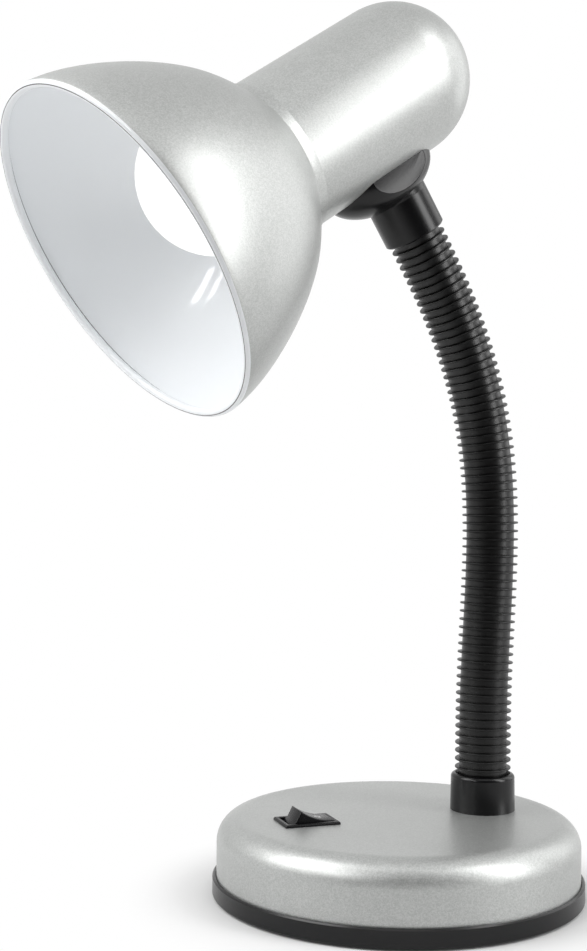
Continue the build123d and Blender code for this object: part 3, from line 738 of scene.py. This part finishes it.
def aim(spot, heading, pitch, roll):
    """Camera matrix from a heading, a pitch and a roll in degrees."""
    ahead = Vector((sin(radians(heading)), cos(radians(heading)), 0))
    right = Vector((cos(radians(heading)), -sin(radians(heading)), 0))
    forward = ahead * cos(radians(pitch)) + UP * sin(radians(pitch))
    above = right.cross(forward)
    tilted_right = right * cos(radians(roll)) + above * sin(radians(roll))
    tilted_above = above * cos(radians(roll)) - right * sin(radians(roll))
    turn = Matrix((tilted_right, tilted_above, -forward)).transposed().to_4x4()
    return Matrix.Translation(spot) @ turn


camera_data = bpy.data.cameras.new("view")
camera = bpy.data.objects.new("view", camera_data)
bpy.context.scene.collection.objects.link(camera)
camera_data.lens = LENS
camera_data.sensor_width = SENSOR
camera_data.sensor_fit = "AUTO"
camera_data.clip_start = 0.01
camera.matrix_world = aim(CAMERA_SPOT, CAMERA_HEADING, CAMERA_PITCH, CAMERA_ROLL)
bpy.context.scene.camera = camera
bpy.context.scene.view_settings.view_transform = "Standard"


ROOM_FRONT = Vector((-0.326, -0.945, 0))   # towards the side of the room that is dim
ROOM_LIGHT = 0.70
ROOM_DARK = 0.06
LIGHT_TARGET = Vector((0, 0, 0.15))


def floor_material():
    """Pale floor that keeps the shadow near the lamp and turns to plain white further out."""
    material = bpy.data.materials.new("pale_floor")
    material.use_nodes = True
    tree = material.node_tree
    tree.nodes.clear()
    link = tree.links.new
    out = tree.nodes.new("ShaderNodeOutputMaterial")
    matt = add_node(tree, "ShaderNodeBsdfDiffuse")
    glow = add_node(tree, "ShaderNodeEmission", Color=(1, 1, 1, 1), Strength=1.0)
    place = add_node(tree, "ShaderNodeTexCoord")
    far = add_node(tree, "ShaderNodeVectorMath", operation="LENGTH")
    link(place.outputs["Object"], far.inputs[0])
    path = add_node(tree, "ShaderNodeLightPath")
    behind = add_node(tree, "ShaderNodeVectorMath", operation="DOT_PRODUCT")
    link(place.outputs["Object"], behind.inputs[0])
    behind.inputs[1].default_value = -ROOM_FRONT
    # Painted shade: the floor's matt colour is darker on the camera side (0.06) than behind the lamp
    # (0.66), so that the lamp's dark plastics reflect a dim front.
    front_floor_shade = add_fade(tree, behind.outputs["Value"], -0.6, -0.2, 0.06, 0.66,
                    interpolation_type="SMOOTHSTEP")
    link(front_floor_shade.outputs["Result"], matt.inputs["Color"])
    shares = []
    for ray, reach, near, wide in (("Is Camera Ray", far, 0.062, 0.105),
                                   ("Is Glossy Ray", behind, 0.2, 0.6)):
        fade = add_fade(tree, reach.outputs["Value"], near, wide, interpolation_type="SMOOTHSTEP")
        share = add_node(tree, "ShaderNodeMath", operation="MULTIPLY")
        link(fade.outputs["Result"], share.inputs[0])
        link(path.outputs[ray], share.inputs[1])
        shares.append(share)
    amount = add_node(tree, "ShaderNodeMath", operation="MAXIMUM")
    link(shares[0].outputs[0], amount.inputs[0])
    link(shares[1].outputs[0], amount.inputs[1])
    mix = tree.nodes.new("ShaderNodeMixShader")
    link(amount.outputs[0], mix.inputs[0])
    link(matt.outputs[0], mix.inputs[1])
    link(glow.outputs[0], mix.inputs[2])
    link(mix.outputs[0], out.inputs["Surface"])
    return material


def studio_world():
    """A plain room, dim in front, that the camera and what lies behind the lamp see as white."""
    world = bpy.data.worlds.new("studio")
    world.use_nodes = True
    tree = world.node_tree
    tree.nodes.clear()
    link = tree.links.new
    out = tree.nodes.new("ShaderNodeOutputWorld")
    way = add_node(tree, "ShaderNodeTexCoord")
    front = add_node(tree, "ShaderNodeVectorMath", operation="DOT_PRODUCT")
    link(way.outputs["Generated"], front.inputs[0])
    front.inputs[1].default_value = ROOM_FRONT
    dimmer = add_fade(tree, front.outputs["Value"], 0.35, 0.95, ROOM_LIGHT, ROOM_DARK,
                      interpolation_type="SMOOTHSTEP")
    room = add_node(tree, "ShaderNodeBackground", Color=(1, 1, 1, 1))
    link(dimmer.outputs["Result"], room.inputs["Strength"])
    seen_white = add_node(tree, "ShaderNodeBackground", Color=(1, 1, 1, 1), Strength=1.0)
    path = add_node(tree, "ShaderNodeLightPath")
    seen = add_node(tree, "ShaderNodeMath", operation="MAXIMUM")
    link(path.outputs["Is Camera Ray"], seen.inputs[0])
    link(path.outputs["Is Transmission Ray"], seen.inputs[1])
    behind = add_fade(tree, front.outputs["Value"], -0.93, -0.99, interpolation_type="SMOOTHSTEP")
    mirrored = add_node(tree, "ShaderNodeMath", operation="MULTIPLY")
    link(behind.outputs["Result"], mirrored.inputs[0])
    link(path.outputs["Is Glossy Ray"], mirrored.inputs[1])
    white = add_node(tree, "ShaderNodeMath", operation="MAXIMUM")
    link(seen.outputs[0], white.inputs[0])
    link(mirrored.outputs[0], white.inputs[1])
    mix = tree.nodes.new("ShaderNodeMixShader")
    link(white.outputs[0], mix.inputs[0])
    link(room.outputs[0], mix.inputs[1])
    link(seen_white.outputs[0], mix.inputs[2])
    link(mix.outputs[0], out.inputs["Surface"])
    return world


def softbox(name, aside, rise, distance, size, brightness):
    """Area light some degrees right of the camera and above the lamp's middle, aimed at it."""
    data = bpy.data.lights.new(name, "AREA")
    data.shape = "RECTANGLE"
    data.size, data.size_y = size
    data.energy = brightness * pi * size[0] * size[1]
    lamp = bpy.data.objects.new(name, data)
    bpy.context.scene.collection.objects.link(lamp)
    bearing = radians(aside - CAMERA_HEADING)
    level = Vector((sin(bearing), -cos(bearing), 0)) * cos(radians(rise))
    lamp.location = LIGHT_TARGET + (level + UP * sin(radians(rise))) * distance
    lamp.rotation_euler = (LIGHT_TARGET - lamp.location).to_track_quat("-Z", "Y").to_euler()
    lamp.visible_camera = False
    return lamp


none_selected()
bpy.ops.mesh.primitive_plane_add(size=12, location=(0, 0, 0))
floor = bpy.context.object
floor.name = "floor"
dress(floor, floor_material())
bpy.context.scene.world = studio_world()
softbox("left_panel", -78, 40, 0.95, (0.5, 0.85), 5.0)
softbox("right_panel", 68, 26, 1.15, (0.4, 1.3), 6.0)
softbox("side_panel", 118, 22, 1.2, (0.6, 1.0), 1.2)
softbox("top_panel", 0, 66, 1.1, (0.55, 0.4), 0.8)
softbox("front_strip", -39.5, 27, 1.3, (0.08, 0.3), 20.0)
softbox("side_strip", -48, 29, 1.3, (0.06, 0.3), 18.0)
